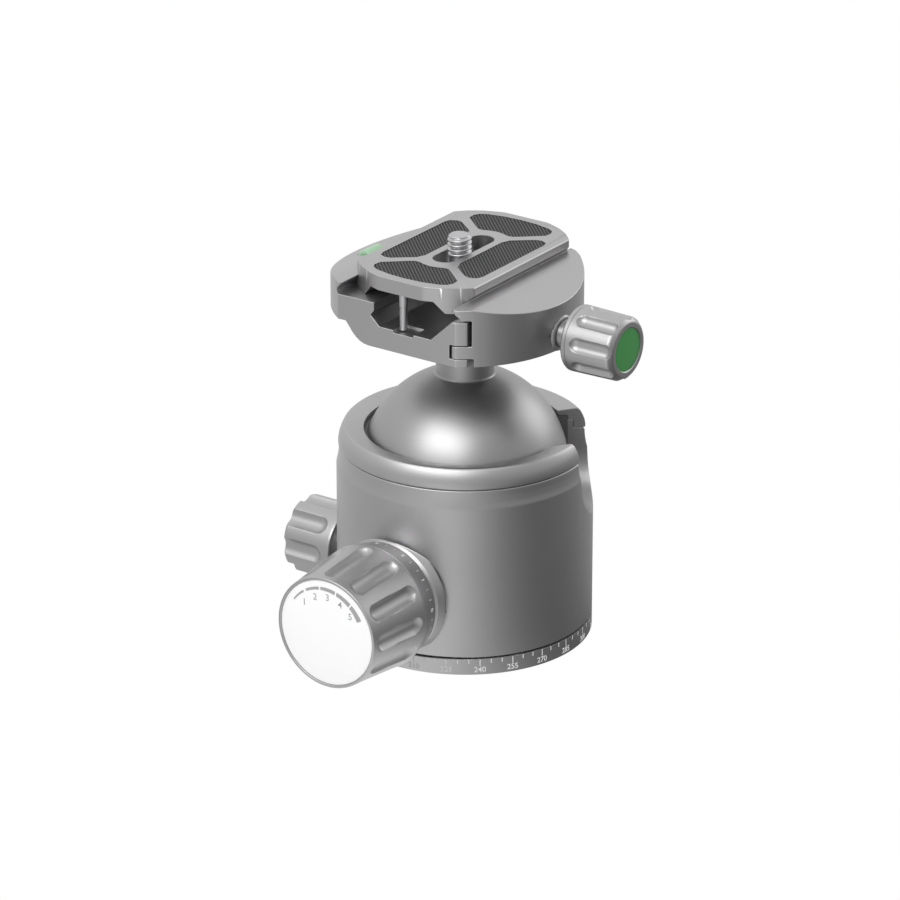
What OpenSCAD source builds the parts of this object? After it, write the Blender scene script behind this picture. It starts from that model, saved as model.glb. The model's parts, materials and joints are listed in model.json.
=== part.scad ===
// Tripod ball head, in millimetres, +Z up, origin in the middle of the foot's underside.
// The main knob points along -Y, the pan knob along -X, the clamp knob along +X.

/* [Ball and barrel] */
// Radius of the ball
ball_r = 27; // [24:0.1:30]
// Thickness of the ring that holds the ball from above
race_w = 1.6; // [1.2:0.1:2.5]
// Thickness of the barrel's wall
wall_w = 4.9; // [4:0.1:7]
// Height of the foot
foot_h = 4.7; // [3:0.1:8]
// Seam between foot and barrel
seam = 0.3; // [0.2:0.05:0.5]
// Height of the barrel's side above the ball's centre
lean_up = 1; // [0.5:0.1:3]
// How far the side leans in below the groove
lean_in = 0.7; // [0.4:0.1:1.2]
// Height of the groove above the ball's centre
groove_up = 6.3; // [5.5:0.1:7]
// Height of the rim above the groove
rim_h = 5.5; // [5:0.1:7]
// How far the rim's top edge lies inside the side
rim_in = 2.3; // [1.5:0.1:3]
// How far the rim's mouth is narrower than the ball
mouth_in = 0.7; // [0.4:0.1:1.2]
// Depth of the dished top of the rim
dish = 0.9; // [0.5:0.1:1.3]
// Radius of the neck
neck_r = 7.6; // [6.5:0.1:9]
// Distance of the clamp's underside from the ball's centre
neck_l = 39.4; // [38.5:0.1:44]

/* [Slot for the vertical drop] */
// Direction of the slot, from +X toward +Y
drop_dir = 30; // [15:1:45]
// Half the width of the slot
drop_half_w = 12.2; // [10:0.1:14]
// Height of the centre of its round bottom above the ball's centre
drop_up = 0.4; // [0:0.1:1]

/* [Pan bearing] */
// Radius of the post
post_r = 15; // [14:0.1:16]
// Thickness of the barrel's floor
floor_h = 10.9; // [10:0.1:13]
// Thickness of the upper washer
upper_washer_h = 0.6; // [0.4:0.1:1]
// Thickness of the retaining disc
disc_h = 1.3; // [1:0.1:2]
// Radius of the tripod thread, at its crests
tripod_thread_r = 3.97; // [3.9:0.01:4.1]
// Depth of the tripod thread
tripod_thread_h = 12; // [9:0.5:14]
// Radius of the thread insert
bush_r = 7; // [6:0.1:7.5]
// Radius of the foot screws
foot_screw_r = 2; // [1.5:0.1:2.2]
// Number of foot screws
foot_screws = 3; // [2:1:4]

/* [Main knob] */
// How far the boss stands out of the barrel
boss_proud = 1.3; // [0.8:0.1:3]
// Width of the drag ring
drag_w = 6.2; // [4:0.1:8]
// Length of the grip
main_l = 20.3; // [16:0.1:26]
// Radius of the grip at its back
main_r0 = 16.9; // [15.5:0.1:18]
// Radius of the grip at its front
main_r1 = 15; // [13.5:0.1:15.5]
// Number of flutes
main_flutes = 12; // [8:1:14]
// Angle of the first flute
main_flute_turn = 0; // [0:0.1:30]
// Radius of the cutter of the flutes
main_flute_r = 2.9; // [2.2:0.1:3.2]
// Depth of the flutes
main_flute_d = 1.6; // [0.8:0.1:1.8]
// Width of the rim round the disc in the knob's face
main_cap_rim = 0.8; // [0.6:0.1:2]
// Radius of the main shaft
shaft_r = 4; // [3.5:0.1:4.5]

/* [Pan knob] */
// Gap between barrel and knob, where the collar shows
pan_neck = 3.4; // [2.5:0.1:5]
// Length of the knob
pan_l = 15.1; // [12:0.1:20]
// Radius of the knob
pan_r = 10.5; // [9:0.1:11.5]
// Number of flutes
pan_flutes = 8; // [6:1:8]
// Angle of the first flute
pan_flute_turn = 136.5; // [90:0.1:140]
// Radius of the cutter of the flutes
pan_flute_r = 3; // [2.4:0.1:3.2]
// Depth of the flutes
pan_flute_d = 1.6; // [1:0.1:1.7]
// Radius of the screw and of its brake pad
brake_r = 2.4; // [2:0.1:3]

/* [Clamp] */
// Position of the round outline's centre
clamp_x = -2.45; // [-3:0.05:-2]
// Half the length of the clamp along the plate
clamp_half_l = 27.1; // [26.5:0.1:28]
// How much narrower its flat ends are than the dovetail, to each side
flat_in = 0.79; // [-2:0.01:2]
// Height of the channel's floor above the underside
channel_up = 6; // [5.8:0.1:6.5]
// Height of the seats above the channel's floor
seat_up = 6.15; // [5.5:0.05:7]
// How far the facets beside the jaws slope down
facet_drop = 3.1; // [1.5:0.1:3.5]
// Width of the flat top of the fixed jaw, between plate and facet
fixed_top_w = 4.25; // [3:0.05:7]
// Width of the flat top of the moving jaw, between plate and facet
moving_top_w = 4.75; // [3:0.05:7]
// Gap between fixed body and moving jaw
jaw_gap = 0.8; // [0.5:0.1:1.2]
// Height of the clamp knob's axis above the underside
clamp_axis_up = 4; // [3.8:0.1:4.2]
// Radius of the clamp screw
clamp_screw_r = 3; // [2.5:0.1:3]

/* [Clamp knob] */
// Gap between jaw and knob, where the collar shows
clamp_neck = 4.8; // [4:0.1:6]
// Length of the knob
clamp_knob_l = 15.2; // [13:0.1:19]
// Radius of the knob at its back
clamp_knob_r0 = 8.7; // [8:0.1:9.5]
// Radius of the knob at its front
clamp_knob_r1 = 8.4; // [7.8:0.1:9]
// Number of flutes
clamp_flutes = 8; // [6:1:9]
// Angle of the first flute
clamp_flute_turn = 35; // [0:0.1:45]
// Radius of the cutter of the flutes
clamp_flute_r = 2.3; // [1.8:0.1:2.6]
// Depth of the flutes
clamp_flute_d = 1.3; // [0.8:0.05:1.4]
// Radius of the disc in the knob's face
clamp_cap_r = 5.7; // [4.5:0.1:6]

/* [Camera plate] */
// Position of the plate's middle across the clamp
plate_x = -2.4; // [-2.8:0.1:-2]
// Position of the plate's middle along the clamp
plate_y = 2.7; // [2:0.1:3.5]
// Half the width of the dovetail
dovetail_half_w = 19; // [18.5:0.05:19.5]
// Height of the dovetail's sloping flank
dovetail_h = 2.1; // [1.8:0.1:2.4]
// Height of the dovetail's foot under its flank
dovetail_foot_h = 1; // [0.8:0.1:1.3]
// How far the top slab is narrower than the dovetail
slab_in = 0.7; // [0.4:0.1:1.2]
// Thickness of the top slab
slab_h = 2.25; // [1.8:0.05:3]
// Half the length of the plate
plate_half_l = 28.6; // [27.5:0.1:30]
// Radius of the plate's rounded ends
plate_end_r = 24.8; // [23:0.1:28]
// Half the width of the long slot
slot_half_w = 3.3; // [3.25:0.05:3.6]
// Half the length of the long slot
slot_half_l = 11.5; // [9.5:0.1:12]
// Radius of the camera screw
camera_screw_r = 3.17; // [3.1:0.01:3.2]
// Height of the tip of the camera screw above the plate
camera_screw_h = 4.6; // [4:0.1:6]
// Position of the camera screw along the slot
camera_screw_y = -1.8; // [-6:0.1:6]
// Radius of the stop pins
stop_pin_r = 1.2; // [1:0.1:1.4]
// Depth of the pads' recesses
pad_d = 0.5; // [0.3:0.1:0.8]

/* [Hidden] */
$fn = 96;
// Fits: between parts that stay together, between parts that turn, and a plain gap
still = 0.02;
run = 0.05;
gap = 0.3;
// How far a cutter reaches past the face that it cuts, and the usual chamfer
over = 1;
edge = 0.4;

// Foot and pan bearing, from the bottom up
barrel_z0 = foot_h + seam;
washer_h = seam - run;
lower_washer_in = 1.5;
floor_z = barrel_z0 + floor_h;
post_top_z = floor_z + upper_washer_h;
disc_z = post_top_z + disc_h;
disc_spigot_w = 2;
disc_spigot_r = bush_r + disc_spigot_w;
foot_screw_ring_r = (bush_r + post_r) / 2;
foot_screw_head_w = 1.6;
foot_screw_head_r = foot_screw_r + foot_screw_head_w;
foot_screw_head_h = 2.2;
foot_screw_hold = 8.2;
foot_screw_z1 = foot_h + foot_screw_hold;
foot_hex_r = 1.4;
foot_hex_h = 1.8;

// Ball and what holds it
ball_z = disc_z + gap + ball_r;
wall_in_r = ball_r + race_w;
body_r = wall_in_r + wall_w;
lower_washer_r = body_r - lower_washer_in;
lean_z = ball_z + lean_up;
lean_r = body_r - lean_in;
groove_d = 0.35;
groove_r = lean_r - groove_d;
groove_z = ball_z + groove_up;
rim_z = groove_z + rim_h;
rim_r = body_r - rim_in;
dome_in = 0.5;
dome_r = body_r - dome_in;
dome_shares = [[1, 0.07], [1, 0.22], [0.89, 0.44], [0.67, 0.655], [0.33, 0.89], [0, 1]];
rim_face_w = 0.6;
mouth_r = ball_r - mouth_in;
mouth_z = rim_z - dish;
lip_h = 1.3;
lip_z = mouth_z - lip_h;
spigot_w = 1.4;
spigot_in = 1.1;
spigot_r = wall_in_r + spigot_w;
spigot_z = lip_z - spigot_in;
race_up = 1.4;
race_z0 = ball_z + race_up;
cup_in_share = 0.64;
cup_out_share = 0.89;
cup_low_share = 0.8;
cup_high_share = 0.52;
cup_r0 = ball_r * cup_in_share;
cup_r1 = ball_r * cup_out_share;
cup_z0 = ball_z - ball_r * cup_low_share;
cup_z1 = ball_z - ball_r * cup_high_share;
carrier_w = 1.9;
carrier_h = 2.1;
carrier_chamfer = 3.5;
carrier_r = cup_r1 + carrier_w;
carrier_z0 = cup_z0 - carrier_h;
carrier_flat_r = carrier_r - carrier_chamfer;
lower_in_r = carrier_r + gap;
step_z = cup_z1 + over;

// Ball lock, along -Y
plunger_r = 3.6;
plunger_lift = 0.5;
main_z = floor_z + plunger_lift + plunger_r;
boss_r = main_z - barrel_z0;
boss_y = body_r + boss_proud;
drag_y0 = boss_y + edge;
drag_y1 = drag_y0 + drag_w;
slip = 0.2;
main_y0 = drag_y1 + slip;
main_y1 = main_y0 + main_l;
drag_flare = 0.3;
drag_r1 = boss_r + drag_flare;
knob_edge = 1;
main_flute_back = 0.9;
main_flute_front = 1.2;
main_flute_y0 = main_y0 + main_flute_back;
main_flute_y1 = main_y1 - main_flute_front;
main_cap_r = main_r1 - main_cap_rim;
main_cap_h = 0.8;
main_cap_in = 0.35;
main_cap_y = main_y1 - main_cap_in;
shaft_bush_w = 3;
shaft_bush_r = shaft_r + shaft_bush_w;
guide_l = 5;
shaft_bush_y1 = lower_in_r + guide_l;
shaft_bush_y0 = drag_y1 - slip;
nose_gap = 0.4;
plunger_y0 = shaft_bush_y1 - slip;
plunger_y1 = carrier_flat_r + main_z + plunger_r + nose_gap - carrier_z0;
nose_r = 0.5;
nose_y = plunger_y1 - plunger_r + nose_r;
disc_share = 0.505;
spring_in_share = 0.577;
spring_out_share = 0.909;
disc_r = post_r + disc_share * (nose_y - post_r);
spring_r0 = post_r + spring_in_share * (nose_y - post_r);
spring_r1 = post_r + spring_out_share * (nose_y - post_r);
shaft_in = 4.9;
shaft_y0 = shaft_bush_y1;
shaft_y1 = main_y1 - shaft_in;
flare_w = 1;
boss_edge = 1.2;
flare_r = boss_r + flare_w;
flare_y = boss_y - boss_edge - 2 * flare_w;

// Pan lock, along -X
floor_skin = 0.5;
pan_z = floor_z - brake_r - floor_skin;
pan_x0 = body_r + pan_neck;
pan_x1 = pan_x0 + pan_l;
brake_x0 = post_r + 2 * run;
brake_l = 4.3;
brake_x1 = brake_x0 + brake_l;
pan_screw_x0 = brake_x1 + 2 * run;
pan_screw_in = 7;
pan_screw_x1 = pan_x1 - pan_screw_in;
pan_collar_w = 2.6;
pan_collar_gap = 0.7;
pan_collar_r = brake_r + pan_collar_w;
pan_collar_x = body_r + pan_collar_gap;
pan_flute_back = 2.15;
pan_flute_x0 = pan_x0 + pan_flute_back;
pan_flute_x1 = pan_x1 + pan_flute_r + over;

// Neck and its bolt
clamp_z0 = ball_z + neck_l;
neck_z = clamp_z0 - 2 * run;
fillet_r = 0.8;
bolt_r = 3;
pivot_w = 2;
pivot_h = 1.5;
pivot_r = bolt_r + pivot_w;
pivot_z = clamp_z0 + pivot_h;
bolt_web = 2;
bolt_seat_z = pivot_z + bolt_web;
bolt_head_r = 5;
bolt_head_gap = 0.3;
bolt_head_z = clamp_z0 + channel_up - bolt_head_gap;
bolt_in = 14.5;
bolt_z0 = clamp_z0 - bolt_in;
bolt_hex_r = 2.3;
bolt_hex_h = 1.4;

// Heights of the clamp and the plate
channel_z = clamp_z0 + channel_up;
seat_z = channel_z + seat_up;
plate_z0 = seat_z + run;
dovetail_low_z = plate_z0 + dovetail_foot_h;
dovetail_high_z = dovetail_low_z + dovetail_h;
jaw_up = 0.1;
jaw_z = dovetail_high_z + jaw_up;
waist_h = 0.6;
bevel_h = 1;
web_d = 0.6;
web_z = dovetail_high_z + waist_h;
web_low_z = web_z - web_d;
slab_z = web_z + bevel_h;
plate_z = slab_z + slab_h;

// Widths of the clamp and the plate, from the plate's middle
dovetail_neck_half_w = dovetail_half_w - dovetail_h;
waist_w = 0.3;
waist_half_w = dovetail_neck_half_w + waist_w;
plate_half_w = dovetail_half_w - slab_in;
flank_gap = 2 * run;
fixed_reach = 1.6;
fixed_x1 = plate_x + dovetail_half_w + fixed_reach;
flat_half_w = dovetail_half_w - flat_in;
clamp_r = sqrt(clamp_half_l * clamp_half_l + flat_half_w * flat_half_w);
clamp_left_x = clamp_x - clamp_r;
clamp_right_x = clamp_x + clamp_r;
fixed_facet_x = plate_x - dovetail_neck_half_w - flank_gap - fixed_top_w;
fixed_facet_w = fixed_facet_x - clamp_left_x;
moving_facet_x = plate_x + dovetail_neck_half_w + flank_gap + moving_top_w;
moving_facet_w = clamp_right_x - moving_facet_x;
right_seat_w = 2;
apex_x = plate_x + dovetail_half_w - right_seat_w;
left_seat_w = 11.9;
drop_x = plate_x - dovetail_half_w + left_seat_w;
channel_left = 5.4;
channel_right = 10.5;
channel_x0 = plate_x - channel_left;
channel_x1 = plate_x + channel_right;
undercut_w = 1.1;
undercut_up = 2.6;
drop_top_up = 3.9;
undercut_x = drop_x - undercut_w;
undercut_z = channel_z + undercut_up;
drop_top_z = channel_z + drop_top_up;
scoop_in = 8.8;
scoop_x0 = plate_x - scoop_in;
scoop_w = 7.2;
scoop_h = 5.3;
scoop_shares = [[1, 1], [0.86, 0.755], [0.71, 0.49], [0.555, 0.283], [0.39, 0.132], [0.22, 0.04]];
jaw_side_up = 4.8;
jaw_side_z = clamp_z0 + jaw_side_up;
tongue_l = 4.4;
tongue_gap = 0.7;
tongue_low = 2.3;
tongue_h = 3.4;
tongue_x = fixed_x1 + jaw_gap - tongue_l;
tongue_slot_x = tongue_x - tongue_gap;
tongue_z0 = clamp_z0 + tongue_low;
tongue_z1 = tongue_z0 + tongue_h;
tongue_slot_z0 = tongue_z0 - 2 * run;
tongue_slot_z1 = tongue_z1 + slip;
lip_under_z = seat_z + edge;
pocket_x = plate_x - dovetail_neck_half_w;
pocket_l = 6.1;
pocket_y = pocket_l - clamp_half_l;
pocket_r = 2;
stop_pin_in = 1.5;
stop_pin_y = plate_half_l - stop_pin_in;
stop_pin_x = 0.3;
stop_pin_step = 0.15;
recess_side = 0.13;
recess_w = 6.1;
recess_end = 1.1;
recess_x = plate_x + stop_pin_x - stop_pin_r - recess_side;
recess_y = stop_pin_y - plate_y - stop_pin_r - recess_end;
recess_d = 0.7;
recess_z = channel_z - recess_d;
pin_foot_z = recess_z + edge;
stop_pin_hold = 1.5;
stop_pin_z1 = web_z + stop_pin_hold;
level_r = 2.5;
level_l = 7.1;
level_share = 0.47;
level_x = fixed_facet_x - level_share * fixed_facet_w;
level_y = -0.45;
level_up = 1;
level_z = jaw_z - facet_drop * level_share + level_up - level_r;
bubble_r = 0.9;
bubble_skin = 0.5;
bubble_l = 2.6;

// Guide pins, springs and screw of the moving jaw
pin_in = 8.1;
pin_y = clamp_half_l - pin_in;
pin_up = 8.5;
pin_z = clamp_z0 + pin_up;
pin_r = 1.5;
pin_hold = 5;
pin_x0 = fixed_x1 - pin_hold;
pin_wall = 1.5;
pin_x1 = clamp_x + sqrt(clamp_r * clamp_r - pin_y * pin_y) - pin_wall;
jaw_spring_share = 0.58;
jaw_spring_y = pin_y * jaw_spring_share;
jaw_spring_r = 1.6;
jaw_spring_in_r = 1;
jaw_spring_hold = 3.6;
jaw_spring_reach = 3;
jaw_spring_x0 = fixed_x1 - jaw_spring_hold;
jaw_spring_x1 = fixed_x1 + jaw_gap + jaw_spring_reach;
spring_well_x1 = jaw_spring_x1 + still;
clamp_axis_z = clamp_z0 + clamp_axis_up;
clamp_screw_hold = 7.7;
clamp_screw_x0 = fixed_x1 - clamp_screw_hold;
jaw_boss_w = 1.4;
jaw_boss_r = clamp_screw_r + jaw_boss_w;
jaw_boss_x = clamp_right_x + edge;
jaw_flare_w = 4.2;
jaw_flare_l = 2.4;
jaw_flare_shares = [[1, 0], [0.62, 0.2], [0.33, 0.45], [0.13, 0.72], [0, 1]];
collar_w = 0.7;
collar_r = clamp_screw_r + collar_w;
collar_x = jaw_boss_x + slip;
clamp_knob_x0 = clamp_right_x + clamp_neck;
clamp_knob_x1 = clamp_knob_x0 + clamp_knob_l;
clamp_screw_in = 4.2;
clamp_screw_x1 = clamp_knob_x1 - clamp_screw_in;
clamp_groove_back = 1.4;
clamp_groove_x = clamp_knob_x0 + clamp_groove_back;
clamp_groove_w = 0.3;
clamp_groove_d = 0.15;
clamp_flute_back = 2.5;
clamp_flute_past = 0.3;
clamp_flute_x0 = clamp_knob_x0 + clamp_flute_back;
clamp_flute_x1 = clamp_knob_x1 + clamp_flute_past;
clamp_cap_in = 0.25;
clamp_cap_h = 0.8;
clamp_cap_x = clamp_knob_x1 - clamp_cap_in;
clamp_knob_edge = 1.4;

// Plate, pads and camera screw
thread_gap = 0.3;
clip_h = 0.25;
end_over = 0.9;
plate_end_y = plate_half_l - plate_end_r + end_over;
slab_edge = 0.5;
leg_foot_w = 6.5;
leg_top_w = 9.3;
leg_foot_x = dovetail_half_w - leg_foot_w;
leg_top_x = dovetail_half_w - leg_top_w;
pad_up = 0.1;
side_pad_shares = [[0.295, -0.33], [0.295, 0.33], [0.35, 0.416], [0.634, 0.56], [0.72, 0.573],
    [0.82, 0.545], [0.852, 0.483], [0.852, -0.483], [0.82, -0.545], [0.72, -0.573],
    [0.634, -0.56], [0.35, -0.416]];
end_pad_shares = [[0.656, 0.7], [0.667, 0.776], [0.623, 0.832], [0.525, 0.867], [0.273, 0.902],
    [0, 0.913], [-0.273, 0.902], [-0.525, 0.867], [-0.623, 0.832], [-0.667, 0.776],
    [-0.656, 0.7], [-0.372, 0.542], [-0.295, 0.504], [-0.219, 0.497], [-0.12, 0.521],
    [0, 0.535], [0.12, 0.521], [0.219, 0.497], [0.295, 0.504], [0.372, 0.542]];
screw_head_r = 6.3;
screw_head_z = plate_z0 + gap;
head_top_z = web_low_z - gap;
screw_waist_in = 0.57;
screw_waist_r = camera_screw_r - screw_waist_in;
clip_w = 2.6;
clip_r = screw_waist_r + clip_w;

// Places what is drawn along +Z on an axis that points along -Y, -X or +X
module on_main() { translate([0, 0, main_z]) rotate([90, 0, 0]) children(); }
module on_pan() { translate([0, 0, pan_z]) rotate([0, -90, 0]) children(); }
module on_clamp() { translate([0, 0, clamp_axis_z]) rotate([0, 90, 0]) children(); }
module rod(r, z0, z1) { translate([0, 0, z0]) cylinder(h = z1 - z0, r = r); }
module cone(r0, r1, z0, z1) { translate([0, 0, z0]) cylinder(h = z1 - z0, r1 = r0, r2 = r1); }
module pipe(r0, r1, z0, z1) {
    difference() {
        rod(r1, z0, z1);
        rod(r0, z0 - over, z1 + over);
    }
}
// A grip with chamfered ends, and the round-ended flutes cut into it
module grip(r0, r1, z0, z1, c) {
    rotate_extrude()
        polygon([[0, z0], [r0 - edge, z0], [r0, z0 + edge], [r1, z1 - c], [r1 - c, z1], [0, z1]]);
}
module flutes(n, turn, r0, r1, z0, z1, cutter, deep) {
    a = atan((r0 - r1) / (z1 - z0));
    for (i = [0 : n - 1]) rotate([0, 0, turn + i * 360 / n])
        translate([r0 + cutter - deep, 0, z0 + cutter]) rotate([0, -a, 0]) {
            cylinder(h = z1 - z0 - 2 * cutter, r = cutter, $fn = 48);
            sphere(r = cutter, $fn = 48);
            translate([0, 0, z1 - z0 - 2 * cutter]) sphere(r = cutter, $fn = 48);
        }
}
module ball_space(r) { translate([0, 0, ball_z]) sphere(r = r, $fn = 128); }
module drop_slot() {
    rotate([0, 0, drop_dir]) translate([post_r, 0, ball_z + drop_up]) {
        rotate([0, 90, 0]) cylinder(h = body_r, r = drop_half_w);
        translate([0, -drop_half_w, 0]) cube([body_r, 2 * drop_half_w, body_r]);
    }
}
module around_foot() {
    for (i = [0 : foot_screws - 1])
        rotate([0, 0, 90 + i * 360 / foot_screws]) translate([foot_screw_ring_r, 0, 0]) children();
}
module foot_screw(g) {
    rod(foot_screw_r + g, edge + foot_screw_head_h, foot_screw_z1 + g);
    cone(foot_screw_head_r + g, foot_screw_r + g, edge + g, edge + foot_screw_head_h + g);
}

// Foot and pan bearing
module base_plate() {
    color("silver") difference() {
        rotate_extrude()
            polygon([[bush_r + still, 0], [body_r - edge, 0], [body_r, edge],
                [body_r, foot_h - edge / 2], [body_r - edge / 2, foot_h], [bush_r + still, foot_h]]);
        around_foot() {
            foot_screw(still);
            rod(foot_screw_head_r + still, -over, edge + still);
        }
    }
}
module thread_bush() { color("gainsboro") pipe(tripod_thread_r, bush_r, 0, tripod_thread_h); }
module base_screws() {
    color("dimgray") around_foot() difference() {
        foot_screw(0);
        cylinder(h = edge + foot_hex_h, r = foot_hex_r, $fn = 6);
    }
}
module pan_spindle() {
    color("gainsboro") difference() {
        union() {
            rod(post_r, foot_h, post_top_z);
            rod(disc_spigot_r, foot_h, disc_z);
        }
        rod(bush_r + still, foot_h - over, tripod_thread_h + still);
        around_foot() rod(foot_screw_r + still, foot_h - over, foot_screw_z1 + still);
    }
}
module lower_washer() { color("ivory") pipe(post_r + gap, lower_washer_r, foot_h, foot_h + washer_h); }
module upper_washer() {
    color("ivory") pipe(post_r + gap, disc_r - edge, floor_z + run, post_top_z);
}
module retaining_disc() { color("silver") pipe(disc_spigot_r + still, disc_r, post_top_z, disc_z); }

// Barrel
module housing() {
    color("silver") difference() {
        union() {
            rotate_extrude()
                polygon([[post_r + run, barrel_z0], [body_r - edge / 2, barrel_z0],
                    [body_r, barrel_z0 + edge / 2], [body_r, lean_z], [lean_r, groove_z - edge / 2],
                    [groove_r, groove_z], [spigot_r, groove_z], [spigot_r, spigot_z],
                    [wall_in_r, spigot_z], [wall_in_r, step_z], [lower_in_r, step_z],
                    [lower_in_r, floor_z], [post_r + run, floor_z]]);
            difference() {
                on_main() {
                    rod(boss_r, post_r, boss_y - boss_edge);
                    cone(boss_r, boss_r - boss_edge, boss_y - boss_edge, boss_y);
                    cone(flare_r, boss_r, flare_y, boss_y - boss_edge);
                }
                rod(lower_in_r + over, -over, rim_z);
                rod(body_r + boss_y, -over, barrel_z0);
            }
        }
        drop_slot();
        on_main() {
            rod(plunger_r + run, post_r, boss_y);
            rod(shaft_bush_r + still, shaft_bush_y1, boss_y + over);
        }
        on_pan() rod(brake_r + run, post_r - over, body_r + over);
    }
}
module rim_ring() {
    color("silver") difference() {
        rotate_extrude()
            polygon(concat([[spigot_r + still, groove_z], [groove_r, groove_z]],
                [for (s = dome_shares) [rim_r + s[0] * (dome_r - rim_r), groove_z + s[1] * rim_h]],
                [[rim_r - rim_face_w, rim_z], [mouth_r, mouth_z], [mouth_r, lip_z],
                [wall_in_r, lip_z], [wall_in_r, spigot_z + still], [spigot_r + still, spigot_z + still]]));
        drop_slot();
    }
}
module collar_race() {
    color("dimgray") difference() {
        rod(wall_in_r - still, race_z0, lip_z - still);
        ball_space(ball_r + run);
        drop_slot();
    }
}
module ball_cup() {
    color("dimgray") difference() {
        pipe(cup_r0, cup_r1, cup_z0, cup_z1);
        ball_space(ball_r + run);
    }
}
module cup_carrier() {
    color("silver") rotate_extrude()
        polygon([[cup_r0, carrier_z0], [carrier_flat_r, carrier_z0],
            [carrier_r, carrier_z0 + carrier_chamfer], [carrier_r, cup_z1],
            [cup_r1 + still, cup_z1], [cup_r1 + still, cup_z0], [cup_r0, cup_z0]]);
}
module cup_spring() { color("dimgray") pipe(spring_r0, spring_r1, floor_z, carrier_z0); }
module shaft_bush() {
    color("goldenrod") on_main() pipe(shaft_r + run, shaft_bush_r, shaft_bush_y1, shaft_bush_y0);
}

// Ball lock
module lock_plunger() {
    color("gainsboro") on_main() {
        rod(plunger_r, plunger_y1, plunger_y0);
        cone(nose_r, plunger_r, nose_y, plunger_y1);
    }
}
module main_shaft() { color("gainsboro") on_main() rod(shaft_r, shaft_y0, shaft_y1); }
module main_knob() {
    color("silver") on_main() difference() {
        rotate([0, 0, main_flute_turn + 180 / main_flutes])
            grip(main_r0, main_r1, main_y0, main_y1, knob_edge / 2);
        flutes(main_flutes, main_flute_turn, main_r0, main_r1, main_flute_y0, main_flute_y1,
            main_flute_r, main_flute_d);
        rod(main_cap_r + still, main_cap_y - main_cap_h, main_y1 + over);
        rod(shaft_r + still, main_y0 - over, shaft_y1 + still);
    }
}
module main_knob_cap() {
    color("white") on_main() rod(main_cap_r, main_cap_y - main_cap_h, main_cap_y);
}
module drag_ring() {
    color("silver") on_main() difference() {
        cone(drag_r1, main_r0 - edge / 2, drag_y0, drag_y1);
        rod(shaft_bush_r + run, drag_y0 - over, drag_y1 + over);
    }
}

// Pan lock
module pan_brake() { color("ivory") on_pan() rod(brake_r, brake_x0, brake_x1); }
module pan_screw() {
    color("gainsboro") on_pan() {
        rod(brake_r, pan_screw_x0, pan_screw_x1);
        rod(pan_collar_r, pan_collar_x, pan_x0);
    }
}
module pan_knob() {
    color("silver") on_pan() difference() {
        rotate([0, 0, 90 - pan_flute_turn]) difference() {
            rotate([0, 0, 180 / pan_flutes]) grip(pan_r, pan_r, pan_x0, pan_x1, knob_edge);
            flutes(pan_flutes, 0, pan_r, pan_r, pan_flute_x0, pan_flute_x1, pan_flute_r, pan_flute_d);
        }
        rod(brake_r + still, pan_x0 - over, pan_screw_x1 + still);
    }
}

// Ball with its neck
module ball() {
    root_z = ball_z + sqrt(ball_r * ball_r - neck_r * neck_r);
    color("gainsboro") difference() {
        union() {
            ball_space(ball_r);
            rod(neck_r, ball_z, neck_z);
            cone(neck_r + fillet_r / 2, neck_r, root_z - fillet_r / 4, root_z + fillet_r * 3 / 4);
            rod(pivot_r, ball_z, pivot_z - gap);
        }
        rod(bolt_r + still, bolt_z0 - still, pivot_z);
    }
}
module stem_bolt() {
    color("dimgray") difference() {
        union() {
            rod(bolt_r, bolt_z0, bolt_seat_z + run);
            rod(bolt_head_r, bolt_seat_z + run, bolt_head_z);
        }
        translate([0, 0, bolt_head_z - bolt_hex_h]) cylinder(h = over + bolt_hex_h, r = bolt_hex_r, $fn = 6);
    }
}

// Clamp
module clamp_outline() {
    intersection() {
        translate([clamp_x, 0]) circle(r = clamp_r, $fn = 180);
        translate([clamp_left_x, -clamp_half_l]) square([2 * clamp_r, 2 * clamp_half_l]);
    }
}
// A profile given as points in X and Z, drawn along the whole clamp
module along_clamp(points) {
    translate([0, clamp_half_l + over, 0]) rotate([90, 0, 0])
        linear_extrude(height = 2 * (clamp_half_l + over)) polygon(points);
}
module clamp_block() {
    translate([0, 0, clamp_z0]) linear_extrude(height = jaw_z - clamp_z0) clamp_outline();
}
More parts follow.
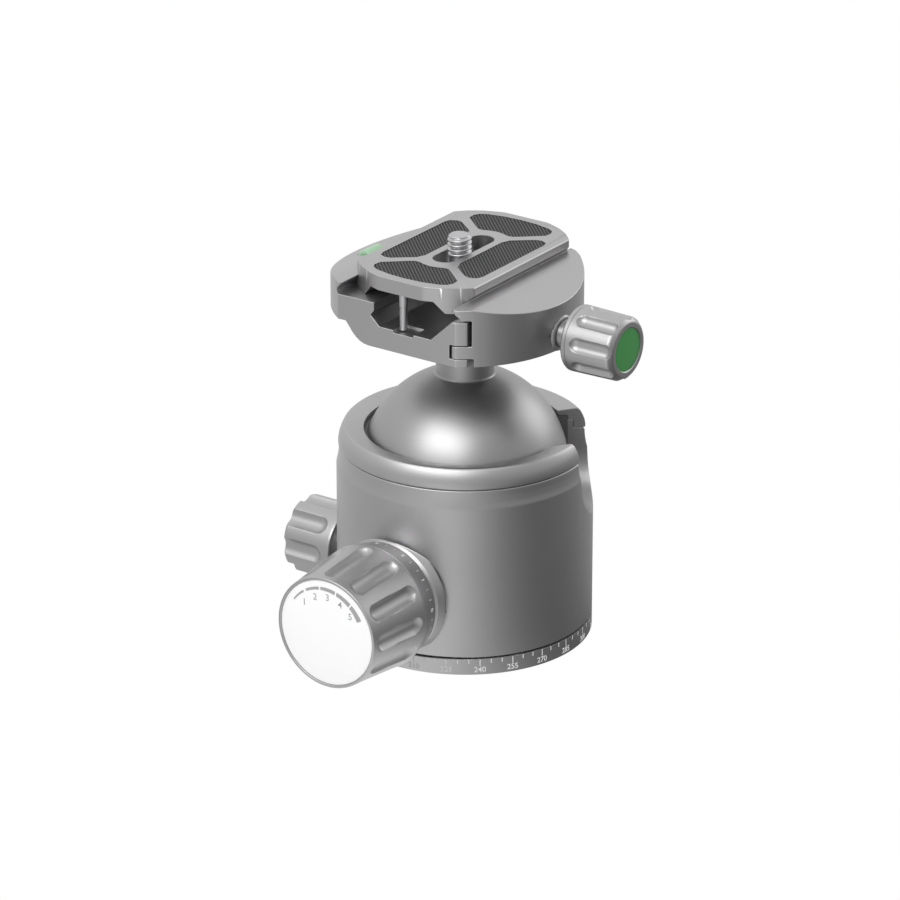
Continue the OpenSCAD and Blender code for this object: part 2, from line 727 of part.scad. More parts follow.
// Draws along +X at the two places that lie this far from the middle
module at_guides(y) {
    for (s = [-1, 1]) translate([0, s * y, pin_z - clamp_axis_z]) on_clamp() children();
}
module on_level() { translate([level_x, level_y, level_z]) rotate([90, 0, 0]) children(); }
module clamp_body() {
    far = clamp_left_x - over;
    far_z = jaw_z - facet_drop * (fixed_facet_w + over) / fixed_facet_w;
    flank_x = plate_x - dovetail_half_w - flank_gap;
    color("silver") difference() {
        intersection() {
            clamp_block();
            along_clamp(concat([[scoop_x0, clamp_z0], [fixed_x1, clamp_z0], [fixed_x1, seat_z],
                [apex_x, seat_z], [channel_x1, channel_z], [channel_x0, channel_z],
                [undercut_x, undercut_z], [drop_x, drop_top_z], [drop_x, seat_z],
                [flank_x, seat_z], [flank_x, dovetail_low_z],
                [flank_x + dovetail_h, dovetail_high_z], [flank_x + dovetail_h, jaw_z],
                [fixed_facet_x, jaw_z], [far, far_z], [far, jaw_side_z]],
                [for (s = scoop_shares) [scoop_x0 - s[0] * scoop_w, clamp_z0 + s[1] * scoop_h]]));
        }
        along_clamp([[tongue_slot_x, tongue_slot_z0], [fixed_x1 + over, tongue_slot_z0],
            [fixed_x1 + over, tongue_slot_z1], [tongue_slot_x, tongue_slot_z1]]);
        translate([pocket_x + pocket_r, -clamp_half_l - over, seat_z])
            cube([drop_x - pocket_x, pocket_l + over, jaw_z]);
        translate([pocket_x + pocket_r, pocket_y - pocket_r, seat_z]) cylinder(h = jaw_z, r = pocket_r);
        translate([pocket_x, -clamp_half_l - over, seat_z])
            cube([2 * pocket_r, pocket_l - pocket_r + over, jaw_z]);
        for (y = [recess_y, -recess_y - clamp_half_l])
            translate([recess_x, y, recess_z]) cube([recess_w, clamp_half_l, jaw_z]);
        rod(pivot_r + run, clamp_z0 - over, pivot_z);
        rod(bolt_r + run, clamp_z0, channel_z);
        rod(bolt_head_r + gap, bolt_seat_z, jaw_z);
        on_clamp() rod(clamp_screw_r + 2 * run, clamp_screw_x0 - edge, fixed_x1 + over);
        on_level() rod(level_r + still, -level_l / 2 - still, level_l / 2 + still);
        at_guides(pin_y) rod(pin_r + still, pin_x0, fixed_x1 + over);
        at_guides(jaw_spring_y) rod(jaw_spring_r + run, jaw_spring_x0, fixed_x1 + over);
    }
}
module level_vial() {
    color([0.62, 0.86, 0.62]) difference() {
        on_level() rod(level_r, -level_l / 2, level_l / 2);
        level_air(bubble_r + still, bubble_l / 2 + still);
    }
}
module level_air(r, half_l) {
    translate([0, 0, level_r - bubble_skin - bubble_r]) on_level() rod(r, -half_l, half_l);
}
module level_bubble() { color("white") level_air(bubble_r, bubble_l / 2); }
module guide_pins() {
    color("gainsboro") at_guides(pin_y) rod(pin_r, pin_x0, pin_x1);
}
module jaw_springs() {
    color("dimgray") at_guides(jaw_spring_y)
        pipe(jaw_spring_in_r, jaw_spring_r, jaw_spring_x0, jaw_spring_x1);
}
module moving_jaw() {
    jaw_x = fixed_x1 + jaw_gap;
    lip_x = plate_x + dovetail_half_w + flank_gap;
    far = clamp_right_x + over;
    far_z = jaw_z - facet_drop * (moving_facet_w + over) / moving_facet_w;
    color("silver") difference() {
        union() {
            intersection() {
                clamp_block();
                along_clamp([[jaw_x + edge, clamp_z0], [far, clamp_z0],
                    [far, far_z], [moving_facet_x, jaw_z],
                    [lip_x - dovetail_h, jaw_z], [lip_x - dovetail_h, dovetail_high_z],
                    [lip_x, dovetail_low_z], [lip_x, lip_under_z], [jaw_x, lip_under_z],
                    [jaw_x, tongue_z1], [tongue_x, tongue_z1], [tongue_x, tongue_z0],
                    [jaw_x + edge, tongue_z0]]);
            }
            difference() {
                on_clamp() rotate_extrude() polygon(concat([[0, jaw_boss_x], [0, jaw_boss_x - jaw_flare_l]],
                    [for (s = jaw_flare_shares) [jaw_boss_r + s[0] * jaw_flare_w,
                        jaw_boss_x + (s[1] - 1) * jaw_flare_l]]));
                translate([0, -clamp_r, clamp_z0 - 2 * clamp_r]) cube(2 * clamp_r);
            }
            on_clamp() rod(jaw_boss_r, jaw_boss_x - 2 * jaw_flare_l, jaw_boss_x);
        }
        on_clamp() rod(clamp_screw_r + 2 * run, tongue_x - over, jaw_boss_x + over);
        at_guides(pin_y) rod(pin_r + run, fixed_x1, pin_x1 + gap);
        at_guides(jaw_spring_y) rod(jaw_spring_r + run, fixed_x1, spring_well_x1);
    }
}
module clamp_screw() {
    color("gainsboro") on_clamp() {
        rod(clamp_screw_r, clamp_screw_x0, clamp_screw_x1);
        rod(collar_r, collar_x, clamp_knob_x0);
    }
}
module clamp_knob() {
    color("silver") on_clamp() difference() {
        rotate([0, 0, 90 + clamp_flute_turn]) difference() {
            rotate([0, 0, 180 / clamp_flutes])
                grip(clamp_knob_r0, clamp_knob_r1, clamp_knob_x0, clamp_knob_x1, clamp_knob_edge);
            flutes(clamp_flutes, 0, clamp_knob_r0, clamp_knob_r1, clamp_flute_x0, clamp_flute_x1,
                clamp_flute_r, clamp_flute_d);
        }
        pipe(clamp_knob_r0 - clamp_groove_d, clamp_knob_r0 + over, clamp_groove_x,
            clamp_groove_x + clamp_groove_w);
        rod(clamp_cap_r + still, clamp_cap_x - clamp_cap_h, clamp_knob_x1 + over);
        rod(clamp_screw_r + still, clamp_knob_x0 - over, clamp_screw_x1 + still);
    }
}
module clamp_knob_cap() {
    color([0.22, 0.48, 0.24]) on_clamp() rod(clamp_cap_r, clamp_cap_x - clamp_cap_h, clamp_cap_x);
}

// Camera plate, drawn about its own middle
module at_plate() { translate([plate_x, plate_y, 0]) children(); }
module plate_outline(w) {
    intersection() {
        square([2 * w, 2 * plate_half_l], center = true);
        union() for (s = [-1, 1])
            translate([0, s * plate_end_y]) circle(r = plate_end_r, $fn = 180);
    }
}
module slot_shape(w) {
    for (s = [-1, 1]) translate([0, s * (slot_half_l - slot_half_w)]) circle(r = w);
    square([2 * w, 2 * (slot_half_l - slot_half_w)], center = true);
}
module pad(shares, turn, z0, z1) {
    translate([0, 0, z0]) rotate([0, 0, turn]) linear_extrude(height = z1 - z0)
        polygon([for (s = shares) [s[0] * plate_half_w, s[1] * plate_half_l]]);
}
// A profile given as points in X and Z, drawn along the whole plate
module along_plate(points) {
    translate([0, plate_half_l + over, 0]) rotate([90, 0, 0])
        linear_extrude(height = 2 * (plate_half_l + over)) polygon(points);
}
module camera_plate() {
    color("silver") at_plate() difference() {
        union() {
            difference() {
                translate([0, 0, plate_z0]) linear_extrude(height = slab_z - plate_z0)
                    plate_outline(dovetail_half_w);
                for (s = [-1, 1]) along_plate([[s * (dovetail_half_w + over), dovetail_low_z],
                    [s * dovetail_half_w, dovetail_low_z], [s * dovetail_neck_half_w, dovetail_high_z],
                    [s * waist_half_w, web_z], [s * plate_half_w, slab_z],
                    [s * (dovetail_half_w + over), slab_z]]);
            }
            translate([0, 0, slab_z]) linear_extrude(height = plate_z - slab_z) plate_outline(plate_half_w);
        }
        along_plate([[-leg_foot_x, plate_z0 - still], [-leg_top_x, web_low_z], [leg_top_x, web_low_z],
            [leg_foot_x, plate_z0 - still]]);
        for (s = [-1, 1]) translate([s * plate_half_w, 0, plate_z]) rotate([0, 45, 0])
            cube([slab_edge, 2 * (plate_half_l + over), slab_edge], center = true);
        translate([0, 0, web_low_z - over]) linear_extrude(height = plate_z - web_low_z + 2 * over)
            slot_shape(slot_half_w);
        for (turn = [0, 180]) {
            pad(side_pad_shares, turn, plate_z - pad_d, plate_z + over);
            pad(end_pad_shares, turn, plate_z - pad_d, plate_z + over);
        }
        for (s = [-1, 1]) translate([stop_pin_x, s * stop_pin_y, 0])
            rod(stop_pin_r + still, web_low_z - over, stop_pin_z1 + still);
    }
}
module pad_left() { color("dimgray") at_plate() pad(side_pad_shares, 180, plate_z - pad_d, plate_z + pad_up); }
module pad_right() { color("dimgray") at_plate() pad(side_pad_shares, 0, plate_z - pad_d, plate_z + pad_up); }
module pad_front() { color("dimgray") at_plate() pad(end_pad_shares, 180, plate_z - pad_d, plate_z + pad_up); }
module pad_rear() { color("dimgray") at_plate() pad(end_pad_shares, 0, plate_z - pad_d, plate_z + pad_up); }
module stop_pins() {
    color("gainsboro") at_plate() for (s = [-1, 1]) translate([stop_pin_x, s * stop_pin_y, 0]) {
        rod(stop_pin_r - stop_pin_step, pin_foot_z, seat_z);
        rod(stop_pin_r, seat_z, stop_pin_z1);
    }
}
module at_camera_screw() { translate([plate_x, plate_y + camera_screw_y, 0]) children(); }
module screw_clip() {
    color("gray") at_camera_screw() pipe(screw_waist_r + run, clip_r, web_low_z - clip_h, web_low_z - run);
}
module camera_screw() {
    tip_z = plate_z + camera_screw_h;
    color("gainsboro") at_camera_screw() difference() {
        union() {
            rod(screw_waist_r, screw_head_z, plate_z + thread_gap);
            rod(camera_screw_r, plate_z + thread_gap, tip_z - edge);
            cone(camera_screw_r, camera_screw_r - edge, tip_z - edge, tip_z);
            rod(screw_head_r, screw_head_z, head_top_z);
        }
        translate([0, 0, screw_head_z - over]) cylinder(h = over + bolt_hex_h, r = bolt_hex_r, $fn = 6);
    }
}

base_plate();
thread_bush();
base_screws();
pan_spindle();
lower_washer();
upper_washer();
retaining_disc();
housing();
rim_ring();
collar_race();
ball_cup();
cup_carrier();
cup_spring();
shaft_bush();
lock_plunger();
main_shaft();
main_knob();
main_knob_cap();
drag_ring();
pan_brake();
pan_screw();
pan_knob();
ball();
stem_bolt();
clamp_body();
level_vial();
level_bubble();
guide_pins();
jaw_springs();
moving_jaw();
clamp_screw();
clamp_knob();
clamp_knob_cap();
camera_plate();
pad_left();
pad_right();
pad_front();
pad_rear();
stop_pins();
screw_clip();
camera_screw();
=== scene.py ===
# %% [markdown]
# # A tripod ball head, dressed for its photograph
# The solids come packed from the CAD model, in metres, with Z up. This lesson places
# a camera and soft light round them, gives every solid its finish, and makes the
# pieces that a plain solid cannot show: scales, ribs, threads and rounded edges.

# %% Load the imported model
import json
import math
import bmesh
import bpy
import numpy as np
from mathutils import Matrix, Vector


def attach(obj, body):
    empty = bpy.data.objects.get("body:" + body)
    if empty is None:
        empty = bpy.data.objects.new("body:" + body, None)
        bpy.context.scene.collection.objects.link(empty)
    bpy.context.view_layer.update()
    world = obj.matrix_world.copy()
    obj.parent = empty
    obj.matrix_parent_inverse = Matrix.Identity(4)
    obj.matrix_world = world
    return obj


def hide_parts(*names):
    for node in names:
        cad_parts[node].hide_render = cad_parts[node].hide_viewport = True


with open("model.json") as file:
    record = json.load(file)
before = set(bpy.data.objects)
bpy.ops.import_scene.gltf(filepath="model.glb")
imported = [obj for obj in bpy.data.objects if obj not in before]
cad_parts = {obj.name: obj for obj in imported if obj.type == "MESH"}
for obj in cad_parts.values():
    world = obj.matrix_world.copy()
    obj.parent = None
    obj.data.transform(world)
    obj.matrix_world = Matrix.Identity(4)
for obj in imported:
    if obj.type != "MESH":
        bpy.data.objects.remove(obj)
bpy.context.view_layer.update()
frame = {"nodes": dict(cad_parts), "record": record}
scene = bpy.context.scene
nodes = frame["nodes"]
mm = 0.001

# %% [markdown]
# ## Shared places
# The three screws of the head run along straight axes, and most turned pieces sit on
# one of them. The plate on top carries the pads, the screw and the stop pins. These
# places belong to the CAD model and are written once here, in millimetres.

# %% Axes, barrel and plate, in mm
main_axis, pan_axis, clamp_axis = 20, 13, 88.5
body_r = 33.5
drop_turn = math.radians(30)
plate_mid, plate_half, plate_top = (-2.4, 2.7), (18.3, 28.6), 103.65
print("heights of the axes in mm:", main_axis, pan_axis, clamp_axis)

# %% [markdown]
# ## The camera
# A long lens far away keeps upright edges nearly parallel, as in a catalogue photo.
# Place, turn and focal length were fitted to the round foot, the rim and the plate.

# %% Place the camera
camera_turn = math.radians(34.9)
camera = bpy.data.objects.new("camera", bpy.data.cameras.new("camera"))
scene.collection.objects.link(camera)
camera.location = (0.7301, -1.0534, 0.5851)
camera.rotation_euler = (math.radians(67.305), 0, camera_turn)
camera.data.lens = 213.5
camera.data.sensor_width = 36
camera.data.clip_start = 0.05
scene.camera = camera
scene.view_settings.view_transform = "Standard"
right = Vector((math.cos(camera_turn), math.sin(camera_turn), 0))
toward = Vector((right.y, -right.x, 0))
print("camera distance in m:", round(camera.location.length, 3))

# %% [markdown]
# ## Finishes
# One function builds every metal and plastic from the same few steps: a colour with
# faint cloudy variation, a roughness that varies with it, and a fine grain as bump.
# Object coordinates keep the grain at its real size, and the bump is far smaller than
# a millimetre, as blasting with glass beads leaves it.

# %% A helper for node trees
def new_material(name):
    m = bpy.data.materials.new(name)
    m.use_nodes = True
    tree = m.node_tree
    return m, tree, tree.nodes["Principled BSDF"]


def add(tree, kind, **values):
    """A node, with values for its inputs or its settings."""
    node = tree.nodes.new(kind)
    for key, value in values.items():
        if key in node.inputs:
            node.inputs[key].default_value = value
        else:
            setattr(node, key, value)
    return node


def wire(tree, *pairs):
    for a, b in pairs:
        tree.links.new(a, b)


# %% Metals and plastics
def grained(name, colour, metallic, rough, grain=0.12, deep=0.3, cloud=0.06):
    """A finish with fine grain. grain is its size in mm, deep its bump strength."""
    m, t, s = new_material(name)
    where = add(t, "ShaderNodeTexCoord")
    fine = add(t, "ShaderNodeTexNoise", Scale=1 / (grain * mm), Detail=3.0, Roughness=0.6)
    broad = add(t, "ShaderNodeTexNoise", Scale=55.0, Detail=4.0, Roughness=0.55)
    tone = add(t, "ShaderNodeMapRange", **{"To Min": 1 - cloud, "To Max": 1 + cloud})
    tint = add(t, "ShaderNodeVectorMath", operation="SCALE")
    tint.inputs[0].default_value = colour
    dull = add(t, "ShaderNodeMapRange", **{"To Min": rough - 0.04, "To Max": rough + 0.04})
    bump = add(t, "ShaderNodeBump", Strength=deep, Distance=0.02 * mm)
    wire(t, (where.outputs["Object"], fine.inputs["Vector"]),
         (where.outputs["Object"], broad.inputs["Vector"]),
         (broad.outputs["Fac"], tone.inputs["Value"]),
         (tone.outputs["Result"], tint.inputs["Scale"]),
         (tint.outputs["Vector"], s.inputs["Base Color"]),
         (fine.outputs["Fac"], dull.inputs["Value"]),
         (dull.outputs["Result"], s.inputs["Roughness"]),
         (fine.outputs["Fac"], bump.inputs["Height"]),
         (bump.outputs["Normal"], s.inputs["Normal"]))
    s.inputs["Metallic"].default_value = metallic
    return m


finish = {
    "satin_metal": grained("satin_metal", (0.5, 0.495, 0.5), 1, 0.42),
    "ball_metal": grained("ball_metal", (0.42, 0.416, 0.42), 1, 0.42, grain=0.1, deep=0.2),
    "bright_steel": grained("bright_steel", (0.55, 0.55, 0.56), 1, 0.34, grain=0.2, deep=0.1),
    "dark_steel": grained("dark_steel", (0.16, 0.16, 0.17), 1, 0.4, grain=0.2, deep=0.2),
    "brass": grained("brass", (0.66, 0.5, 0.22), 1, 0.3, grain=0.2, deep=0.1),
    "dark_plastic": grained("dark_plastic", (0.1, 0.1, 0.1), 0, 0.5, grain=0.3, deep=0.3),
    "pale_plastic": grained("pale_plastic", (0.8, 0.78, 0.7), 0, 0.45, grain=0.3, deep=0.2),
    "white_disc": grained("white_disc", (0.94, 0.94, 0.94), 0, 0.3, grain=0.6, deep=0.05, cloud=0.01),
    "green_disc": grained("green_disc", (0.04, 0.24, 0.055), 0, 0.4, grain=0.2, deep=0.15),
    "level_green": grained("level_green", (0.34, 0.56, 0.36), 0, 0.25, grain=0.6, deep=0.02),
    "bubble": grained("bubble", (0.85, 0.95, 0.8), 0, 0.1, grain=0.6, deep=0.02),
    "pad_rubber": grained("pad_rubber", (0.06, 0.06, 0.06), 0, 0.7, grain=0.25, deep=0.5),
}
print("finishes:", len(finish))

# %% [markdown]
# ## Painted light and shade on the rubber
# The crests of the ribbed rubber are painted grey as painted light, and the furrows nearly black
# as painted shade. The height of a point decides this, so the colour is scaled by its Z over the
# last third of a millimetre.

# %% Painted light on the crests, painted shade in the furrows
rubber = finish["pad_rubber"].node_tree
rubber_colour = rubber.nodes["Principled BSDF"].inputs["Base Color"]
rubber_where = next(node for node in rubber.nodes if node.type == "TEX_COORD")
height = add(rubber, "ShaderNodeSeparateXYZ")
# Painted light and shade: the rubber's colour grows lighter towards the crests and near black in the furrows,
# by height alone.
painted_shade_by_height = add(rubber, "ShaderNodeMapRange", **{
    "From Min": (plate_top - 0.25) * mm, "From Max": (plate_top + 0.09) * mm, "To Min": 0.25, "To Max": 2.6})
shaded_rubber_colour = add(rubber, "ShaderNodeVectorMath", operation="SCALE")
wire(rubber, (rubber_where.outputs["Object"], height.inputs[0]), (height.outputs["Z"], painted_shade_by_height.inputs["Value"]),
     (painted_shade_by_height.outputs["Result"], shaded_rubber_colour.inputs["Scale"]), (rubber_colour.links[0].from_socket, shaded_rubber_colour.inputs[0]),
     (shaded_rubber_colour.outputs[0], rubber_colour))

# %% [markdown]
# ## A finish for every solid
# The record names a finish for each piece of the head. Every solid gets that one, so
# a piece that needs no more than its solid is done after this step.

# %% Hand out the finishes
slot_of = {p["node"]: p["material_slot"] for p in frame["record"]["subparts"]}
for name, solid in nodes.items():
    solid.data.materials.clear()
    solid.data.materials.append(finish[slot_of[name]])
    for face in solid.data.polygons:
        face.material_index = 0
print("solids with a finish:", len(nodes))

# %% [markdown]
# ## Helpers for making pieces
# Most of this head is turned on a lathe, so a profile spun round an axis makes most of
# its pieces. A profile is a list of radius and height in millimetres. Its corners are
# softened first, because a real edge is never sharp and the small round catches light.

# %% Soft corners
def soften(points, radius=0.2, steps=3, closed=False):
    """Round each corner of a profile, by at most 45 % of the shorter side beside it."""
    out = []
    for i, p in enumerate(points):
        if not closed and i in (0, len(points) - 1):
            out.append(tuple(p))
            continue
        p = np.array(p, float)
        a = np.array(points[i - 1], float) - p
        b = np.array(points[(i + 1) % len(points)], float) - p
        la, lb = np.linalg.norm(a), np.linalg.norm(b)
        nearly_straight = np.dot(a, b) / (la * lb) < -0.94
        if nearly_straight:
            out.append(tuple(p))
            continue
        cut = min(radius, 0.45 * la, 0.45 * lb)
        p0, p1 = p + a / la * cut, p + b / lb * cut
        for k in range(steps + 1):
            t = k / steps
            out.append(tuple((1 - t) ** 2 * p0 + 2 * t * (1 - t) * p + t * t * p1))
    return out


def dense(points, step, closed=False):
    """Add points so that no side of a profile is longer than a step."""
    out = []
    last = len(points) if closed else len(points) - 1
    for i in range(last):
        a, b = np.array(points[i]), np.array(points[(i + 1) % len(points)])
        n = max(1, math.ceil(np.linalg.norm(b - a) / step))
        out += [tuple(a + (b - a) * k / n) for k in range(n)]
    return out if closed else out + [tuple(points[-1])]


# %% Turned shapes
def turned(points, around=192, closed=False, shape=None):
    """Spin a profile round Z. shape(angle, radius, height) may change the radius."""
    turn = np.arange(around) * 2 * math.pi / around
    verts, faces, rows = [], [], []
    for radius, height in points:
        if radius < 1e-6 and not closed:
            rows.append([len(verts)])
            verts.append((0.0, 0.0, height))
            continue
        r = np.full(around, radius)
        if shape:
            r = shape(turn, r, height)
        rows.append(list(range(len(verts), len(verts) + around)))
        verts += list(zip(r * np.cos(turn), r * np.sin(turn), np.full(around, height)))
    pairs = list(zip(rows, rows[1:])) + ([(rows[-1], rows[0])] if closed else [])
    for low, high in pairs:
        for k in range(around):
            j = (k + 1) % around
            if len(low) == 1:
                faces.append((low[0], high[j], high[k]))
            elif len(high) == 1:
                faces.append((low[k], low[j], high[0]))
            else:
                faces.append((low[k], low[j], high[j], high[k]))
    return np.array(verts, float), faces


# %% [markdown]
# ## From points to a finished piece
# Every piece goes through the same door: a mesh in metres, merged and closed, is tied
# to the body that carries it and takes the place of its plain solid. Modifiers work on
# a helper object that is thrown away, so each piece arrives with its final mesh.

# %% Put a mesh into the scene
def along(axis_height, way):
    """The place of a piece drawn up Z that lies along -Y, -X or +X at a height in mm."""
    degrees, axis = {"-y": (90, "X"), "-x": (-90, "Y"), "+x": (90, "Y")}[way]
    return Matrix.Translation((0, 0, axis_height * mm)) @ Matrix.Rotation(math.radians(degrees), 4, axis)


def mesh_of(name, verts, faces, place=None):
    """A mesh from points in mm, moved to its place."""
    mesh = bpy.data.meshes.new(name)
    mesh.from_pydata((verts * mm).tolist(), [], faces)
    if place:
        mesh.transform(place)
    return mesh


def finish_mesh(mesh, bend=32):
    """Merge a mesh, turn its faces outwards and keep its edges sharp above a bend."""
    shape = bmesh.new()
    shape.from_mesh(mesh)
    bmesh.ops.remove_doubles(shape, verts=shape.verts, dist=1e-7)
    bmesh.ops.dissolve_degenerate(shape, edges=shape.edges, dist=1e-7)
    bmesh.ops.recalc_face_normals(shape, faces=shape.faces)
    shape.to_mesh(mesh)
    shape.free()
    mesh.shade_smooth()
    mesh.set_sharp_from_angle(angle=math.radians(bend))


def applied(data, *modifiers):
    """The mesh that a mesh or text becomes with its modifiers, each a kind and settings."""
    helper = bpy.data.objects.new("helper", data)
    scene.collection.objects.link(helper)
    for kind, settings in modifiers:
        modifier = helper.modifiers.new(kind, kind)
        for key, value in settings.items():
            if hasattr(modifier, key):
                setattr(modifier, key, value)
            else:
                modifier[key] = value
    ready = bpy.data.meshes.new_from_object(helper.evaluated_get(bpy.context.evaluated_depsgraph_get()))
    bpy.data.objects.remove(helper)
    return ready


def declare(name, mesh, body, slot, stands_for=(), look=None):
    made = bpy.data.objects.new(name, mesh)
    scene.collection.objects.link(made)
    mesh.materials.clear()
    mesh.materials.append(look or finish[slot])
    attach(made, body)
    if stands_for:
        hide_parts(*stands_for)
    print(f"{name}: {len(mesh.polygons)} faces")


def piece(name, body, slot, verts, faces, place=None, stands_for=()):
    """One finished piece from points in mm: smooth, closed, with its faces outwards."""
    mesh = mesh_of(name, verts, faces, place)
    finish_mesh(mesh)
    declare(name, mesh, body, slot, stands_for)


# %% [markdown]
# ## The ball and its neck
# Ball and neck are turned from one bar and ground bright-satin. A mesh sphere from the
# CAD file shows flats along its outline, so the profile is spun again with a finer step
# and a true round where the neck grows out of the ball.

# %% Ball
ball_r, ball_z, neck_r, neck_top, root = 27, 45.1, 7.6, 84.4, 0.8
high = math.sqrt((ball_r + root) ** 2 - (neck_r + root) ** 2)
lean = math.atan2(high, neck_r + root)
profile = [(ball_r * math.cos(a), ball_z + ball_r * math.sin(a)) for a in np.linspace(-math.pi / 2, lean, 110)]
profile[0] = (0, ball_z - ball_r)
profile += [(neck_r + root - root * math.cos(b), ball_z + high - root * math.sin(b))
            for b in np.linspace(lean, 0, 7)[1:]]
profile += soften([(neck_r, ball_z + high + 0.5), (neck_r, neck_top), (5, neck_top), (5, 85.7), (3.02, 85.7)])
profile += [(3.02, 70), (0, 70)]
piece("ball_turned", "ball_and_neck", "ball_metal", *turned(profile, 224), stands_for=("ball",))

# %% [markdown]
# ## The three grips
# Each grip is turned and then fluted with a ball-nosed cutter that runs along it. The
# cutter's path is known, so the depth of a flute at any point follows from one formula
# for a rod with round ends. A fine grid takes that depth, and where side and flute meet
# the two radii are blended over a tenth of a millimetre, as tumbling leaves an edge.

# %% A cutter for flutes
def flute(count, turn, r0, r1, z0, z1, cutter, deep, blend=0.14):
    """Flutes from z0 to z1 in a grip whose radius goes from r0 to r1 between them."""
    slope = (r0 - r1) / (z1 - z0)
    far_off = 99

    def shape(angle, radius, height):
        reach = r0 + cutter - deep - slope * (height - z0 - cutter)
        side = (angle - math.radians(turn) + math.pi / count) % (2 * math.pi / count) - math.pi / count
        end = max(z0 + cutter - height, height - (z1 - cutter), 0)
        room = cutter ** 2 - end ** 2 - (reach * np.sin(side)) ** 2
        cut = np.where(room > 0, reach * np.cos(side) - np.sqrt(np.maximum(room, 0)), far_off)
        near = np.maximum(blend - np.abs(radius - cut), 0) / blend
        return np.minimum(radius, cut) - near ** 2 * blend / 4
    return shape


# %% [markdown]
# The main grip tapers towards its face, which is hollowed to seat the white disc.

# %% Main grip, along -Y
side = soften([(4.1, 41.6), (16.9, 41.6), (15.0, 61.9), (14.3, 61.9), (14.22, 61.5), (14.22, 60.75),
               (4.1, 60.75)], 0.35)
cutter_path = flute(12, 0, r0=16.9, r1=15.0, z0=42.5, z1=60.7, cutter=2.9, deep=1.6)
piece("main_knob_turned", "main_grip", "satin_metal", *turned(dense(side, 0.3, True), 444, True, cutter_path),
      place=along(main_axis, "-y"), stands_for=("main_knob",))

# %% [markdown]
# The pan grip is a plain cylinder. Its flutes run out through its face.

# %% Pan grip, along -X
side = [(0, 45), (2.45, 45), (2.45, 36.9), (9.7, 36.9), (10.0, 36.95), (10.35, 37.1), (10.5, 37.4),
        (10.5, 51.1), (10.35, 51.55), (9.95, 51.85), (9.5, 52), (0, 52)]
cutter_path = flute(8, 90 - 136.5, r0=10.5, r1=10.5, z0=39.05, z1=60, cutter=3, deep=1.6)
piece("pan_knob_turned", "pan_grip", "satin_metal", *turned(dense(side, 0.24), 360, False, cutter_path),
      place=along(pan_axis, "-x"), stands_for=("pan_knob",))

# %% [markdown]
# The clamp grip has a fine groove behind its flutes and a rounded lip round the disc.

# %% Clamp grip, along +X
side = [(0, 46), (3.05, 46), (3.05, 35), (8.2, 35), (8.5, 35.12), (8.67, 35.4), (8.68, 36.35), (8.52, 36.42),
        (8.52, 36.62), (8.66, 36.7), (8.43, 48.6), (8.36, 48.95), (8.1, 49.35), (7.4, 49.95), (7.05, 50.13),
        (6.7, 50.15), (5.95, 50.15), (5.72, 49.95), (5.72, 49.1), (0, 49.1)]
cutter_path = flute(8, 90 + 35, r0=8.7, r1=8.4, z0=37.5, z1=50.45, cutter=2.3, deep=1.3)
piece("clamp_knob_turned", "clamp_grip", "satin_metal", *turned(dense(side, 0.22), 336, False, cutter_path),
      place=along(clamp_axis, "+x"), stands_for=("clamp_knob",))

# %% [markdown]
# ## Barrel, rim, clamp and plate
# These are milled as well as turned, and their cuts are in the solids already. A copy of
# each solid is merged and gets a small bevel on every sharp edge. Weighted normals keep
# its flat faces flat. Two groups of edges stay as the cutter left them: a bevel would
# fold over where the slot for the vertical drop crosses the barrel's long side, and the
# recesses of the pads are filled to the brim with rubber.

# %% A bevel for milled pieces
def rounded(node, body, width, crease=None, keep=None, reshape=None):
    """A copy of a solid, merged, with all its sharp edges rounded by a bevel.

    An edge stays sharp where keep(its middle in mm) says so. A gentler edge stays
    visible where it bends by more than crease degrees."""
    weld, sharp_bend = 2e-6, 28
    mesh = nodes[node].data.copy()
    shape = bmesh.new()
    shape.from_mesh(mesh)
    bmesh.ops.remove_doubles(shape, verts=shape.verts, dist=weld)
    bmesh.ops.dissolve_degenerate(shape, edges=shape.edges, dist=weld)
    bmesh.ops.dissolve_limit(shape, angle_limit=math.radians(0.3), verts=shape.verts, edges=shape.edges)
    if reshape:
        reshape(shape)
    layer = shape.edges.layers.float.new("bevel_weight_edge")
    for edge in shape.edges:
        angle = edge.calc_face_angle(0)
        if angle > math.radians(sharp_bend):
            middle = sum((v.co for v in edge.verts), Vector()) / 2 / mm
            edge.smooth = not (keep and keep(middle))
            edge[layer] = float(edge.smooth)
        elif crease and angle > math.radians(crease):
            edge.smooth = False
    shape.to_mesh(mesh)
    shape.free()
    for face in mesh.polygons:
        face.use_smooth = True
    bevel = {"width": width * mm, "segments": 2, "limit_method": "WEIGHT", "use_clamp_overlap": False,
             "miter_outer": "MITER_ARC"}
    ready = applied(mesh, ("BEVEL", bevel), ("WEIGHTED_NORMAL", {"weight": 60, "keep_sharp": True}))
    declare(node + "_rounded", ready, body, slot_of[node], (node,))


# %% [markdown]
# The band under the rim is hollow in the photo. A lathe tool with a round nose cuts
# such a cove, so the sloping band is sliced into rings and each ring is drawn inwards.

# %% A cove, and edges that stay sharp
def cove(shape):
    """Hollow the sloping band under the rim, steep at its foot and upright at its top."""
    low, top, lean, slices = 46.1, 51.2, 0.7, 8
    for z in np.linspace(low, top, slices + 1)[1:-1]:
        every = list(shape.verts) + list(shape.edges) + list(shape.faces)
        bmesh.ops.bisect_plane(shape, geom=every, dist=1e-7, plane_co=(0, 0, z * mm), plane_no=(0, 0, 1))
    for v in shape.verts:
        r = math.hypot(v.co.x, v.co.y) / mm
        t = (v.co.z / mm - low) / (top - low)
        if 0.02 < t < 0.98 and abs(r - (body_r - lean * t)) < 0.03:
            hollow = (body_r - lean * (1 - (1 - t) ** 2)) / r
            v.co.x *= hollow
            v.co.y *= hollow


